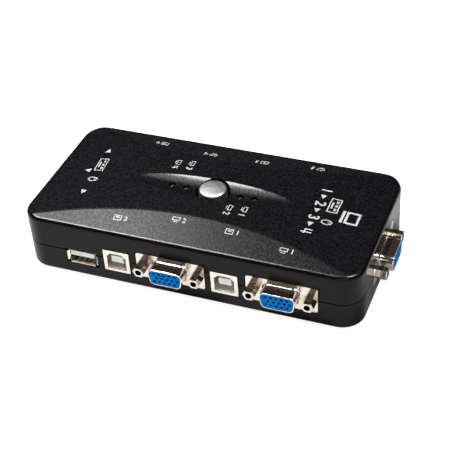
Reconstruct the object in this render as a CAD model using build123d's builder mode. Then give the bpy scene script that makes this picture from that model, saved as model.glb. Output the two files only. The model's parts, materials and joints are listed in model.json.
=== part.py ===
from build123d import *
import os
from math import acos, degrees

# Four-computer VGA and USB selector switch: a low two-shell ABS box with one circuit
# board, twelve sockets round its sides and one push button on top.
# Millimetres. X runs along the case towards the monitor socket, Y to the back, Z up.
# Z = 0 is the table under the rubber feet. X = 0 is the middle of the overall length,
# so the case itself is centred at CASE_X.

os.makedirs("parts", exist_ok=True)

# ---- Case ----
CASE_LENGTH = 152.0
CASE_WIDTH = 74.0
CORNER_R = 10.0
WALL = 2.0
FOOT_PROUD = 1.0
BASE_Z = FOOT_PROUD
SPLIT_Z = 14.0
EDGE_Z = 28.0
CROWN_RISE = 3.6
CROWN_Z = EDGE_Z + CROWN_RISE
BAND_HALF = 20.0  # half width of the arched band at mid length
TOP_EDGE_R = 2.0
CREASE_R = 4.0  # softens the line between the band and each strip
BASE_EDGE_R = 1.8
LIP_HEIGHT = 1.4
LIP_THICK = 0.9
FIT = 0.1  # clearance between parts that slide together
SEAM = 0.25  # chamfer on each side of the parting line
LID_POST_R = 3.5
BASE_POST_R = 4.4
BOARD_POST_R = 3.0
HEAD_POCKET_R = 3.1
HEAD_POCKET_DEPTH = 2.4
PILOT_DEPTH = 11.0

# ---- Board ----
BOARD_THICK = 1.6
BOARD_Z = 7.3  # upper face
BOARD_LENGTH = 146.0
BOARD_WIDTH = 68.6
LEAD_BELOW = 1.5  # how far soldered leads stand out under the board

# ---- Sockets ----
VGA_Z = BOARD_Z + 6.6
USB_B_Z = BOARD_Z + 5.45
USB_A_Z = BOARD_Z + 3.6
D_PROUD = 6.0
D_WIDTH = 16.3
D_HEIGHT = 7.9
D_LEAN = 80  # angle of the D's slanted sides
D_CORNER = 2.4
D_SHEET = 0.45
FLANGE_WIDTH = 30.8
FLANGE_HEIGHT = 12.5
FLANGE_THICK = 1.0
FLANGE_CORNER = 1.0
LOCK_PITCH = 24.99
LOCK_PROUD = 5.2
LOCK_ACROSS = 4.8
LOCK_THREAD_R = 1.42
LOCK_CLEARANCE_R = 1.7  # holes in the flange and brackets that the jackscrews pass
LOCK_HOLE_END = 1.0  # the threaded hole stops this far in front of the flange
PIN_PITCH = 2.29
PIN_ROW = 1.98
PIN_SHIFT = (-0.27, 0.88, -0.27)  # sideways shift of the top, middle and bottom rows
PIN_SIDE = 0.55
PIN_HOLE_R = 0.45  # lead holes in the board
PIN_MOUTH_R = 0.68  # openings in the blue face
PIN_TUBE_R = 0.78
PIN_BORE_R = 0.6
PIN_DEPTH = 1.2  # how far the contacts lie behind the blue face
USB_B_WIDTH = 12.04
USB_B_HEIGHT = 10.9
USB_B_DEPTH = 16.4
USB_B_OPENING = (8.9, 8.2, 1.9)  # width, height and cut of the upper corners
USB_B_MOUTH = 9.8  # how deep a plug goes in
TONGUE_WIDTH = 5.6
TONGUE_HEIGHT = 3.5
TONGUE_RISE = 0.75  # the tongue's centre above the shell's
USB_A_WIDTH = 13.1
USB_A_HEIGHT = 5.7
USB_A_DEPTH = 14.0
USB_A_FLARE = (1.3, 1.0)  # how much wider and higher the flared lips are than the shell
USB_A_LIP = 0.9
USB_SHEET = 0.35
PORT_GAP = 0.4

# ---- Button, switch and lamps ----
SCOOP_DEPTH = 1.8
SCOOP_HALF_LENGTH = 36.5
SCOOP_HALF_WIDTH = 7.0
WELL_R = 7.7
WELL_DEPTH = 5.0
CAP_R = 6.15
CAP_PROUD = 2.3
CAP_DOME = 0.35
CAP_ROUND = 1.1
STEM_R = 2.5
PRESS = 0.5  # button travel
SWITCH_SIDE = 6.0
SWITCH_HEIGHT = 3.5
SWITCH_LEG_XY = (3.25, 2.25)
ACTUATOR_TOP = BOARD_Z + 5.0
LAMP_R = 1.5
LAMP_OFFSETS = (-19.0, -12.5, 12.5, 19.0)
LAMP_LENGTH = 5.2
LAMP_RECESS = 0.5
LAMP_LEAD = 1.27  # half the pitch of a lamp's leads

# ---- Fasteners and feet ----
CASE_SCREW_XY = (65.5, 26.5)
BOARD_SCREW_XY = (53.0, 12.5)
FOOT_XY = (50.0, 27.0)
FOOT_R = 4.5
FOOT_THICK = 1.6
SCREW_R = 1.42
BOARD_SCREW_R = 1.2

CASE_X = -D_PROUD / 2
FLOOR_Z = BASE_Z + WALL
BOARD_BOTTOM = BOARD_Z - BOARD_THICK
SCOOP_Z = CROWN_Z - SCOOP_DEPTH
STEM_END = SCOOP_Z - WELL_DEPTH - WALL - 3.0  # lower end of the cap's stem

# The scoop is cut by a spindle lying along X above the lid.
SPINDLE_LIFT = (SCOOP_HALF_WIDTH**2 - SCOOP_DEPTH**2) / (2 * SCOOP_DEPTH)
SPINDLE_Z = CROWN_Z + SPINDLE_LIFT
TIP_DROP = CROWN_RISE * (2 * SCOOP_HALF_LENGTH / CASE_LENGTH) ** 2
STRIP_SLOPE = CROWN_RISE / (CASE_WIDTH / 2 - BAND_HALF)
ARCH_R = ((CASE_LENGTH / 2) ** 2 + CROWN_RISE**2) / (2 * CROWN_RISE)

CASE = Plane((CASE_X, 0, 0))
CASE_LONG = Plane(origin=(CASE_X, 0, 0), x_dir=(1, 0, 0), z_dir=(0, -1, 0))
CASE_CROSS = Plane(origin=(CASE_X, 0, 0), x_dir=(0, 1, 0), z_dir=(1, 0, 0))


def case_level(height):
    """Horizontal plane at a height, centred on the case."""
    return CASE.offset(height)


def front_face(along, height):
    """Socket plane on the front wall: x to the right, y up, z outwards."""
    return Plane(origin=(CASE_X + along, -CASE_WIDTH / 2, height), x_dir=(1, 0, 0), z_dir=(0, -1, 0))


def back_face(along, height):
    return Plane(origin=(CASE_X + along, CASE_WIDTH / 2, height), x_dir=(-1, 0, 0), z_dir=(0, 1, 0))


def monitor_face(height):
    return Plane(origin=(CASE_X + CASE_LENGTH / 2, 0, height), x_dir=(0, 1, 0), z_dir=(1, 0, 0))


def far_face(height):
    return Plane(origin=(CASE_X - CASE_LENGTH / 2, 0, height), x_dir=(0, -1, 0), z_dir=(-1, 0, 0))


VGA_FACES = {
    "pc1_vga": front_face(43.2, VGA_Z),
    "pc2_vga": front_face(-6.0, VGA_Z),
    "pc3_vga": back_face(43.2, VGA_Z),
    "pc4_vga": back_face(-6.0, VGA_Z),
    "monitor_vga": monitor_face(VGA_Z),
}
USB_B_FACES = {
    "pc1_usb_b": front_face(18.2, USB_B_Z),
    "pc2_usb_b": front_face(-31.0, USB_B_Z),
    "pc3_usb_b": back_face(18.2, USB_B_Z),
    "pc4_usb_b": back_face(-31.0, USB_B_Z),
}
USB_A_FACES = {
    "front_usb_a": front_face(-47.5, USB_A_Z),
    "back_usb_a": back_face(-47.5, USB_A_Z),
    "end_usb_a": far_face(USB_A_Z),
}


def save(piece, name):
    piece.part.label = name
    export_step(piece.part, f"parts/{name}.step")


# ---- Shared outlines ----


def d_profile(grow):
    """D outline of a video socket, wide side up, moved outwards by grow."""
    with BuildSketch() as outline:
        Trapezoid(D_WIDTH, D_HEIGHT, D_LEAN, rotation=180)
        fillet(outline.vertices(), D_CORNER)
        if grow:
            offset(amount=grow)
    return outline.sketch


def usb_b_profile(width, height, cut):
    """Square opening with its two upper corners cut off."""
    with BuildSketch() as outline:
        Rectangle(width, height)
        chamfer(outline.vertices().group_by(Axis.Y)[-1], cut)
    return outline.sketch


def pin_sites():
    """Places of the fifteen contacts on the socket face: (x, y, row number from the top)."""
    sites = []
    for row, shift in enumerate(PIN_SHIFT):
        for column in range(-2, 3):
            sites.append((column * PIN_PITCH + shift, PIN_ROW * (1 - row), row))
    return sites


def pin_drop(row):
    """How far behind the wall's outer face a row's tails go down: the top row furthest in."""
    return -(11.2 - 1.9 * row)


USB_B_TAILS = ((-1.25, -11.6), (1.25, -11.6), (-1.25, -13.6), (1.25, -13.6))
USB_A_TAILS = ((-3.5, -11.9), (-1.0, -11.9), (1.0, -11.9), (3.5, -11.9))
BRACKET_DEPTH = 8.0
BRACKET_WIDTH = 5.6
BRACKET_HEIGHT = 9.4
BRACKET_LOCK = -5.0  # board pins of the video brackets, measured from the wall's outer face
USB_B_LEG = -6.0
USB_A_LEG = -5.0
LEG_REACH = LEAD_BELOW + BOARD_THICK


# ---- Case shells ----


def arch_outline(lower):
    """Long section of the lid's arch: a disc whose top passes over the case."""
    with BuildSketch(CASE_LONG) as section:
        with Locations((0, CROWN_Z - lower - ARCH_R)):
            Circle(ARCH_R)
    return section.sketch


def strip_outline(lower, base):
    """Cross section of the lid: front and back strips slope up to the band."""
    reach = CASE_WIDTH
    edge = EDGE_Z - lower - STRIP_SLOPE * (reach - CASE_WIDTH / 2)
    ridge = EDGE_Z - lower + STRIP_SLOPE * CASE_WIDTH / 2
    with BuildSketch(CASE_CROSS) as section:
        Polygon((-reach, base), (reach, base), (reach, edge), (0, ridge), (-reach, edge), align=None)
    return section.sketch


def lid_block(inset, lower, base):
    """Solid of the lid's shape, its walls moved in by inset and its top lowered."""
    with BuildPart() as block:
        with BuildSketch(case_level(base)):
            RectangleRounded(CASE_LENGTH - 2 * inset, CASE_WIDTH - 2 * inset, CORNER_R - inset)
        extrude(amount=2 * EDGE_Z)
        extrude(arch_outline(lower), amount=CASE_WIDTH, both=True, mode=Mode.INTERSECT)
        extrude(strip_outline(lower, base), amount=CASE_LENGTH, both=True, mode=Mode.INTERSECT)
    return block


def scoop_spindle(grow):
    """Spindle whose lower side shapes the scoop round the button and the lamps."""
    middle = SPINDLE_LIFT + SCOOP_DEPTH + grow
    tip = SPINDLE_LIFT + TIP_DROP + grow
    axis_plane = Plane(origin=(CASE_X, 0, SPINDLE_Z), x_dir=(1, 0, 0), z_dir=(0, -1, 0))
    with BuildPart() as spindle:
        with BuildSketch(axis_plane):
            with BuildLine():
                ThreePointArc((-SCOOP_HALF_LENGTH, -tip), (0, -middle), (SCOOP_HALF_LENGTH, -tip))
                Polyline(
                    (SCOOP_HALF_LENGTH, -tip),
                    (SCOOP_HALF_LENGTH, 0),
                    (-SCOOP_HALF_LENGTH, 0),
                    (-SCOOP_HALF_LENGTH, -tip),
                )
            make_face()
        revolve(axis=Axis((CASE_X, 0, SPINDLE_Z), (1, 0, 0)))
    return spindle


def port_cutter():
    """All the openings in the side walls as one body, cut from both shells."""
    with BuildPart() as cutter:
        for face in VGA_FACES.values():
            with BuildSketch(face.offset(-2 * WALL)):
                RectangleRounded(
                    FLANGE_WIDTH + 2 * PORT_GAP, FLANGE_HEIGHT + 2 * PORT_GAP, FLANGE_CORNER + PORT_GAP
                )
            extrude(amount=3 * WALL)
        for face in USB_B_FACES.values():
            with BuildSketch(face.offset(-2 * WALL)):
                Rectangle(USB_B_WIDTH + 2 * PORT_GAP, USB_B_HEIGHT + 2 * PORT_GAP)
            extrude(amount=3 * WALL)
        flare_wide, flare_high = USB_A_FLARE
        for face in USB_A_FACES.values():
            with BuildSketch(face.offset(-2 * WALL)):
                RectangleRounded(USB_A_WIDTH + 2 * flare_wide, USB_A_HEIGHT + 2 * flare_high, 0.6)
            extrude(amount=3 * WALL)
    return cutter


def make_top_cover(cutter):
    cavity = lid_block(WALL, WALL, SPLIT_Z - WALL)
    thick_scoop = scoop_spindle(WALL)
    scoop = scoop_spindle(0)
    blank = lid_block(0, 0, SPLIT_Z)
    with BuildPart() as hollow:
        add(cavity.part)
        add(thick_scoop.part, mode=Mode.SUBTRACT)
    with BuildPart() as cover:
        add(blank.part)
        creases = cover.edges().filter_by(GeomType.ELLIPSE).sort_by(SortBy.LENGTH)[-2:]
        fillet(creases, CREASE_R)
        walls = cover.faces().filter_by(lambda f: abs(f.normal_at().Z) < 0.1)
        fillet(walls.edges().filter_by(lambda e: e.center().Z > EDGE_Z - FIT), TOP_EDGE_R)
        chamfer(cover.faces().sort_by(Axis.Z)[0].outer_wire().edges(), SEAM)
        add(hollow.part, mode=Mode.SUBTRACT)
        # Rebate that takes the lower shell's lip.
        with BuildSketch(case_level(SPLIT_Z)):
            inset = 2 * (WALL - LIP_THICK - FIT)
            RectangleRounded(CASE_LENGTH - inset, CASE_WIDTH - inset, CORNER_R - inset / 2)
        extrude(amount=LIP_HEIGHT + FIT, mode=Mode.SUBTRACT)
        # Corner posts down to the board.
        with BuildSketch(case_level(BOARD_Z)):
            with GridLocations(2 * CASE_SCREW_XY[0], 2 * CASE_SCREW_XY[1], 2, 2):
                Circle(LID_POST_R)
        extrude(amount=EDGE_Z - BOARD_Z - 0.3 * WALL)
        # Cup that holds the button.
        with BuildSketch(case_level(SCOOP_Z - WELL_DEPTH - WALL)):
            Circle(WELL_R + WALL)
        extrude(amount=WELL_DEPTH + 1.0)
        add(scoop.part, mode=Mode.SUBTRACT)
        with BuildSketch(case_level(SCOOP_Z - WELL_DEPTH)):
            Circle(WELL_R)
        extrude(amount=WELL_DEPTH + SCOOP_DEPTH, mode=Mode.SUBTRACT)
        with BuildSketch(case_level(SCOOP_Z - WELL_DEPTH - 2 * WALL)):
            Circle(STEM_R + 2 * FIT)
        extrude(amount=3 * WALL, mode=Mode.SUBTRACT)
        # Lamp holes.
        with BuildSketch(case_level(SCOOP_Z - 3 * WALL)):
            with Locations(*[(x, 0) for x in LAMP_OFFSETS]):
                Circle(LAMP_R + FIT)
        extrude(amount=4 * WALL, mode=Mode.SUBTRACT)
        # Pilot holes for the case screws.
        with BuildSketch(case_level(BOARD_Z)):
            with GridLocations(2 * CASE_SCREW_XY[0], 2 * CASE_SCREW_XY[1], 2, 2):
                Circle(SCREW_R)
        extrude(amount=PILOT_DEPTH, mode=Mode.SUBTRACT)
        add(cutter.part, mode=Mode.SUBTRACT)
    save(cover, "top_cover")


def make_bottom_cover(cutter):
    with BuildPart() as cover:
        with BuildSketch(case_level(BASE_Z)):
            RectangleRounded(CASE_LENGTH, CASE_WIDTH, CORNER_R)
        extrude(amount=SPLIT_Z - BASE_Z)
        chamfer(cover.faces().sort_by(Axis.Z)[-1].outer_wire().edges(), SEAM)
        fillet(cover.faces().sort_by(Axis.Z)[0].outer_wire().edges(), BASE_EDGE_R)
        # Locating lip, standing inside the upper shell.
        with BuildSketch(case_level(SPLIT_Z - WALL)):
            inset = 2 * (WALL - LIP_THICK)
            RectangleRounded(CASE_LENGTH - inset, CASE_WIDTH - inset, CORNER_R - inset / 2)
        extrude(amount=WALL + LIP_HEIGHT)
        with BuildSketch(case_level(FLOOR_Z)):
            RectangleRounded(CASE_LENGTH - 2 * WALL, CASE_WIDTH - 2 * WALL, CORNER_R - WALL)
        extrude(amount=SPLIT_Z, mode=Mode.SUBTRACT)
        # Posts under the board.
        with BuildSketch(case_level(BASE_Z)):
            with GridLocations(2 * CASE_SCREW_XY[0], 2 * CASE_SCREW_XY[1], 2, 2):
                Circle(BASE_POST_R)
            with GridLocations(2 * BOARD_SCREW_XY[0], 2 * BOARD_SCREW_XY[1], 2, 2):
                Circle(BOARD_POST_R)
        extrude(amount=BOARD_BOTTOM - BASE_Z)
        with Locations(case_level(BASE_Z)):
            with GridLocations(2 * CASE_SCREW_XY[0], 2 * CASE_SCREW_XY[1], 2, 2):
                Cylinder(
                    HEAD_POCKET_R,
                    HEAD_POCKET_DEPTH,
                    align=(Align.CENTER, Align.CENTER, Align.MIN),
                    mode=Mode.SUBTRACT,
                )
                Cylinder(SCREW_R + 2 * FIT, 2 * SPLIT_Z, mode=Mode.SUBTRACT)
            with GridLocations(2 * FOOT_XY[0], 2 * FOOT_XY[1], 2, 2):
                Cylinder(
                    FOOT_R + FIT,
                    FOOT_THICK - FOOT_PROUD,
                    align=(Align.CENTER, Align.CENTER, Align.MIN),
                    mode=Mode.SUBTRACT,
                )
        with BuildSketch(case_level(FLOOR_Z - 0.5)):
            with GridLocations(2 * BOARD_SCREW_XY[0], 2 * BOARD_SCREW_XY[1], 2, 2):
                Circle(BOARD_SCREW_R)
        extrude(amount=BOARD_BOTTOM, mode=Mode.SUBTRACT)
        add(cutter.part, mode=Mode.SUBTRACT)
    save(cover, "bottom_cover")


def make_screws(name, sites, head_plane, head_r, head_height, shank_r, shank_length, down):
    """Pan-head cross-recess screws: head on one side of head_plane and shank on the other."""
    way = -1 if down else 1
    with BuildPart() as screws:
        with BuildSketch(head_plane):
            with GridLocations(2 * sites[0], 2 * sites[1], 2, 2):
                Circle(head_r)
        extrude(amount=-way * head_height)
        outer = screws.faces().filter_by(GeomType.PLANE).sort_by(Axis.Z)
        outer = outer[-4:] if down else outer[:4]
        fillet(outer.edges(), 0.5 * head_height)
        with BuildSketch(head_plane):
            with GridLocations(2 * sites[0], 2 * sites[1], 2, 2):
                Circle(shank_r)
        extrude(amount=way * shank_length)
        tips = screws.faces().filter_by(GeomType.PLANE).sort_by(Axis.Z)
        tips = tips[:4] if down else tips[-4:]
        chamfer(tips.edges(), 0.5 * shank_r)
        with BuildSketch(head_plane.offset(-way * head_height)):
            with GridLocations(2 * sites[0], 2 * sites[1], 2, 2):
                Rectangle(1.2 * head_r, 0.26 * head_r)
                Rectangle(0.26 * head_r, 1.2 * head_r)
        extrude(amount=way * 0.6 * head_height, mode=Mode.SUBTRACT)
    save(screws, name)


def make_rubber_feet():
    with BuildPart() as feet:
        with BuildSketch(case_level(0)):
            with GridLocations(2 * FOOT_XY[0], 2 * FOOT_XY[1], 2, 2):
                Circle(FOOT_R)
        extrude(amount=FOOT_THICK)
        fillet(feet.edges().group_by(Axis.Z)[0], 0.4)
    save(feet, "rubber_feet")


# ---- Circuit board ----


def lead_holes():
    """Axes of all soldered leads, as (x, y, hole radius) on the board."""
    bracket_hole_r = 1.15
    shell_hole_r = 1.0
    switch_hole_r = 0.55
    holes = []
    for face in VGA_FACES.values():
        for x, _, row in pin_sites():
            holes.append((face, x, pin_drop(row), PIN_HOLE_R))
        for side in (-1, 1):
            holes.append((face, side * LOCK_PITCH / 2, BRACKET_LOCK, bracket_hole_r))
    for face in USB_B_FACES.values():
        for x, y in USB_B_TAILS:
            holes.append((face, x, y, PIN_HOLE_R))
        for side in (-1, 1):
            holes.append((face, side * (USB_B_WIDTH - USB_SHEET) / 2, USB_B_LEG, shell_hole_r))
    for face in USB_A_FACES.values():
        for x, y in USB_A_TAILS:
            holes.append((face, x, y, PIN_HOLE_R))
        for side in (-1, 1):
            holes.append((face, side * (USB_A_WIDTH - USB_SHEET) / 2, USB_A_LEG, shell_hole_r))
    spots = []
    for face, x, y, radius in holes:
        spot = face.from_local_coords((x, 0, y))
        spots.append((spot.X - CASE_X, spot.Y, radius))
    for x in LAMP_OFFSETS:
        for side in (-1, 1):
            spots.append((x, side * LAMP_LEAD, PIN_HOLE_R))
    leg_x, leg_y = SWITCH_LEG_XY
    for x in (-leg_x, leg_x):
        for y in (-leg_y, leg_y):
            spots.append((x, y, switch_hole_r))
    return spots


def make_circuit_board():
    holes = lead_holes()
    radii = sorted({radius for _, _, radius in holes})
    with BuildPart() as board:
        with BuildSketch(case_level(BOARD_BOTTOM)):
            RectangleRounded(BOARD_LENGTH, BOARD_WIDTH, CORNER_R - WALL)
            with GridLocations(2 * CASE_SCREW_XY[0], 2 * CASE_SCREW_XY[1], 2, 2):
                Circle(SCREW_R + 4 * FIT, mode=Mode.SUBTRACT)
            with GridLocations(2 * BOARD_SCREW_XY[0], 2 * BOARD_SCREW_XY[1], 2, 2):
                Circle(BOARD_SCREW_R + 2 * FIT, mode=Mode.SUBTRACT)
            for radius in radii:
                with Locations(*[(x, y) for x, y, r in holes if r == radius]):
                    Circle(radius, mode=Mode.SUBTRACT)
        extrude(amount=BOARD_THICK)
    save(board, "circuit_board")


def make_chips(name, sites, width, length, height, leads, pitch):
    """Flat chips with a row of bent leads on each long side."""
    foot = 0.9
    with BuildPart() as chips:
        for x, y in sites:
            here = Plane((CASE_X + x, y, BOARD_Z))
            with BuildSketch(here.offset(0.1)):
                Rectangle(length, width)
            extrude(amount=height - 0.1)
            with BuildSketch(here):
                with GridLocations(pitch, width + foot, leads, 2):
                    Rectangle(0.45 * pitch, 1.2 * foot)
            extrude(amount=0.2)
            with BuildSketch(here):
                with GridLocations(pitch, width + 0.2, leads, 2):
                    Rectangle(0.45 * pitch, 0.6)
            extrude(amount=0.6 * height)
        top = chips.faces().filter_by(Axis.Z).group_by(Axis.Z)[-1]
        chamfer(top.edges(), 0.15)
        with BuildSketch(Plane((0, 0, BOARD_Z + height))):
            with Locations(*[(CASE_X + x - 0.4 * length, y - 0.25 * width) for x, y in sites]):
                Circle(0.35)
        extrude(amount=-0.15, mode=Mode.SUBTRACT)
    save(chips, name)


def make_crystal():
    with BuildPart() as crystal:
        with BuildSketch(Plane((CASE_X - 38.0, 12.5, BOARD_Z))):
            SlotOverall(11.5, 4.9)
        extrude(amount=0.6)
        with BuildSketch(Plane((CASE_X - 38.0, 12.5, BOARD_Z + 0.6))):
            SlotOverall(10.6, 4.0)
        extrude(amount=3.0)
        fillet(crystal.edges().group_by(Axis.Z)[-1], 0.5)
    save(crystal, "crystal")


def make_capacitors():
    sites = [(CASE_X + x, y) for x, y in ((-52.0, 0.0), (36.0, -12.0), (36.0, 12.0))]
    with BuildPart() as cans:
        with BuildSketch(Plane.XY.offset(BOARD_Z)):
            with Locations(*sites):
                Circle(2.5)
        extrude(amount=7.0)
        fillet(cans.edges().group_by(Axis.Z)[-1], 0.4)
        with BuildSketch(Plane.XY.offset(BOARD_Z + 1.0)):
            with Locations(*sites):
                Circle(2.7)
                Circle(2.3, mode=Mode.SUBTRACT)
        extrude(amount=0.5, mode=Mode.SUBTRACT)
    save(cans, "capacitors")


# ---- Select button and its switch ----


def make_button_cap():
    top = SCOOP_Z + CAP_PROUD
    bottom = SCOOP_Z - WELL_DEPTH + PRESS + 0.3
    dome_r = CAP_R - CAP_ROUND
    ball_r = (dome_r**2 + CAP_DOME**2) / (2 * CAP_DOME)
    dome_start = degrees(acos(dome_r / ball_r))
    with BuildPart() as cap:
        with BuildSketch(CASE_LONG):
            with BuildLine():
                Polyline(
                    (0, STEM_END),
                    (STEM_R, STEM_END),
                    (STEM_R, top - 2 * CAP_ROUND),
                    (CAP_R - CAP_ROUND, top - 2 * CAP_ROUND),
                    (CAP_R - CAP_ROUND, bottom),
                    (CAP_R, bottom),
                    (CAP_R, top - CAP_ROUND),
                )
                CenterArc((CAP_R - CAP_ROUND, top - CAP_ROUND), CAP_ROUND, 0, 90)
                CenterArc((0, top + CAP_DOME - ball_r), ball_r, dome_start, 90 - dome_start)
                Line((0, top + CAP_DOME), (0, STEM_END))
            make_face()
        revolve(axis=Axis((CASE_X, 0, 0), (0, 0, 1)))
    save(cap, "button_cap")


def make_button_plunger():
    top = SCOOP_Z - WELL_DEPTH - WALL - 0.1
    cup_floor = 1.5
    rib_span, rib_thick = 6.6, 0.9
    with BuildPart() as plunger:
        with BuildSketch(case_level(STEM_END - cup_floor)):
            Circle(STEM_R + 1.6)
        extrude(amount=top - STEM_END + cup_floor)
        with BuildSketch(case_level(STEM_END)):
            Circle(STEM_R)
        extrude(amount=top - STEM_END, mode=Mode.SUBTRACT)
        with BuildSketch(case_level(ACTUATOR_TOP)):
            Circle(2.1)
        extrude(amount=STEM_END - cup_floor - ACTUATOR_TOP)
        # Four stiffening ribs along the rod.
        with BuildSketch(case_level(ACTUATOR_TOP + cup_floor)):
            Rectangle(rib_span, rib_thick)
            Rectangle(rib_thick, rib_span)
        extrude(amount=STEM_END - ACTUATOR_TOP - 2 * cup_floor)
    save(plunger, "button_plunger")


def make_switch():
    """Small board switch under the rod: base, dome, actuator, cover plate and legs."""
    plate_thick = 0.3
    base_top = BOARD_Z + SWITCH_HEIGHT - plate_thick
    with BuildPart() as base:
        with BuildSketch(case_level(BOARD_Z)):
            RectangleRounded(SWITCH_SIDE, SWITCH_SIDE, 0.4)
        extrude(amount=SWITCH_HEIGHT - plate_thick)
        with BuildSketch(case_level(BOARD_Z + 1.0)):
            Circle(2.3)
        extrude(amount=SWITCH_HEIGHT, mode=Mode.SUBTRACT)
    save(base, "switch_base")
    dome_z = BOARD_Z + 1.0
    dome_r = 2.2
    dome_rise = 0.7
    dome_thick = 0.12
    ball_r = (dome_r**2 + dome_rise**2) / (2 * dome_rise)
    with BuildPart() as dome:
        with Locations(case_level(dome_z + dome_rise - ball_r)):
            Sphere(ball_r)
            Sphere(ball_r - dome_thick, mode=Mode.SUBTRACT)
        split(bisect_by=case_level(dome_z))
    save(dome, "snap_dome")
    actuator_foot = dome_z + dome_rise + 0.02
    with BuildPart() as actuator:
        with BuildSketch(case_level(actuator_foot)):
            Circle(2.15)
        extrude(amount=base_top - actuator_foot - 0.05)
        with BuildSketch(case_level(actuator_foot)):
            Circle(1.7)
        extrude(amount=ACTUATOR_TOP - actuator_foot)
        chamfer(actuator.edges().group_by(Axis.Z)[-1], 0.2)
    save(actuator, "switch_actuator")
    with BuildPart() as plate:
        with BuildSketch(case_level(base_top)):
            RectangleRounded(SWITCH_SIDE, SWITCH_SIDE, 0.4)
            Circle(1.85, mode=Mode.SUBTRACT)
        extrude(amount=plate_thick)
        with BuildSketch(case_level(BOARD_Z + 1.2)):
            with GridLocations(0, SWITCH_SIDE + 0.2, 1, 2):
                Rectangle(2.0, 0.2)
        extrude(amount=SWITCH_HEIGHT - 1.2)
    save(plate, "switch_cover")
    with BuildPart() as legs:
        with BuildSketch(case_level(BOARD_BOTTOM - LEAD_BELOW)):
            with GridLocations(SWITCH_SIDE + 0.5, 4.5, 2, 2):
                Rectangle(0.3, 0.7)
        extrude(amount=LEG_REACH + 1.2)
        with BuildSketch(case_level(BOARD_Z + 0.9)):
            with GridLocations(SWITCH_SIDE + 0.3, 4.5, 2, 2):
                Rectangle(0.3, 0.7)
        extrude(amount=0.3)
    save(legs, "switch_legs")


def lamp_top(x):
    """Height of the scoop's floor at a lamp, from the spindle's arc."""
    fall = SCOOP_DEPTH - TIP_DROP
    arc_r = (SCOOP_HALF_LENGTH**2 + fall**2) / (2 * fall)
    return SCOOP_Z + arc_r - (arc_r**2 - x**2) ** 0.5


def make_lamps():
    for number, x in enumerate(LAMP_OFFSETS, start=1):
        foot = lamp_top(x) - LAMP_RECESS - LAMP_LENGTH
        with BuildPart() as lens:
            with BuildSketch(Plane((CASE_X + x, 0, foot))):
                Circle(LAMP_R + 0.3)
            extrude(amount=1.0)
            with BuildSketch(Plane((CASE_X + x, 0, foot))):
                Circle(LAMP_R)
            extrude(amount=LAMP_LENGTH)
            fillet(lens.edges().group_by(Axis.Z)[-1], 0.95 * LAMP_R)
        save(lens, f"indicator_led_{number}")
    with BuildPart() as leads:
        for x in LAMP_OFFSETS:
            with BuildSketch(Plane((CASE_X + x, 0, BOARD_BOTTOM - LEAD_BELOW))):
                with Locations((0, -LAMP_LEAD), (0, LAMP_LEAD)):
                    Rectangle(0.5, 0.5)
            extrude(amount=lamp_top(x) - LAMP_RECESS - LAMP_LENGTH - BOARD_BOTTOM + LEAD_BELOW)
    save(leads, "led_leads")


# ---- Video sockets ----


def make_vga_shell(name, face):
    """Plated front flange with its D-shaped collar and two bracket legs behind."""
    with BuildPart() as shell:
        with BuildSketch(face.offset(-FLANGE_THICK)):
            RectangleRounded(FLANGE_WIDTH, FLANGE_HEIGHT, FLANGE_CORNER)
        extrude(amount=FLANGE_THICK)
        root = face.location * d_profile(0)
        extrude(root, amount=D_PROUD)
        outwards = Axis(face.origin, face.z_dir)
        front = shell.faces().filter_by(outwards).sort_by(outwards)
        fillet(front[-2].inner_wires().edges(), 0.8)
        fillet(front[-1].outer_wire().edges(), 0.25)
        bore = face.offset(-FLANGE_THICK).location * d_profile(-D_SHEET)
        extrude(bore, amount=FLANGE_THICK + D_PROUD, mode=Mode.SUBTRACT)
        # Bracket legs stand on the board and hold the jackscrews.
        for side in (-1, 1):
            with BuildSketch(face.offset(-BRACKET_DEPTH)):
                with Locations((side * LOCK_PITCH / 2, 0)):
                    with Locations((0, BOARD_Z - VGA_Z)):
                        Rectangle(BRACKET_WIDTH, BRACKET_HEIGHT, align=(Align.CENTER, Align.MIN))
            extrude(amount=BRACKET_DEPTH - FLANGE_THICK)
            with BuildSketch(face.offset(-BRACKET_DEPTH)):
                with Locations((side * LOCK_PITCH / 2, 0)):
                    Circle(LOCK_CLEARANCE_R)
            extrude(amount=BRACKET_DEPTH, mode=Mode.SUBTRACT)
            with BuildSketch(face.offset(BRACKET_LOCK - 0.4)):
                with Locations((side * LOCK_PITCH / 2, BOARD_Z - VGA_Z)):
                    Rectangle(1.8, LEG_REACH, align=(Align.CENTER, Align.MAX))
            extrude(amount=0.8)
    save(shell, f"{name}_shell")


def make_vga_block(name, face):
    """Blue insulator: the holed face inside the collar and the body on the board."""
    body_back = -13.0
    with BuildPart() as block:
        plug = face.offset(-FLANGE_THICK).location * d_profile(-D_SHEET - 0.02)
        extrude(plug, amount=FLANGE_THICK + D_PROUD - 0.15)
        with BuildSketch(face.offset(body_back)):
            with Locations((0, BOARD_Z - VGA_Z)):
                Rectangle(18.0, 12.0, align=(Align.CENTER, Align.MIN))
        extrude(amount=-body_back - FLANGE_THICK)
        # Space for the contact tails, open below and behind.
        with BuildSketch(face.offset(body_back)):
            with Locations((0.3, BOARD_Z - VGA_Z)):
                Rectangle(12.6, 10.4, align=(Align.CENTER, Align.MIN))
        extrude(amount=6.6, mode=Mode.SUBTRACT)
        with BuildSketch(face.offset(D_PROUD - 1.0)):
            with Locations(*[(x, y) for x, y, _ in pin_sites()]):
                Circle(PIN_MOUTH_R)
        extrude(amount=2.0, mode=Mode.SUBTRACT)
        with BuildSketch(face.offset(body_back)):
            with Locations(*[(x, y) for x, y, _ in pin_sites()]):
                Circle(PIN_TUBE_R + 0.02)
        extrude(amount=D_PROUD - 1.0 - body_back, mode=Mode.SUBTRACT)
    save(block, f"{name}_block")


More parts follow.
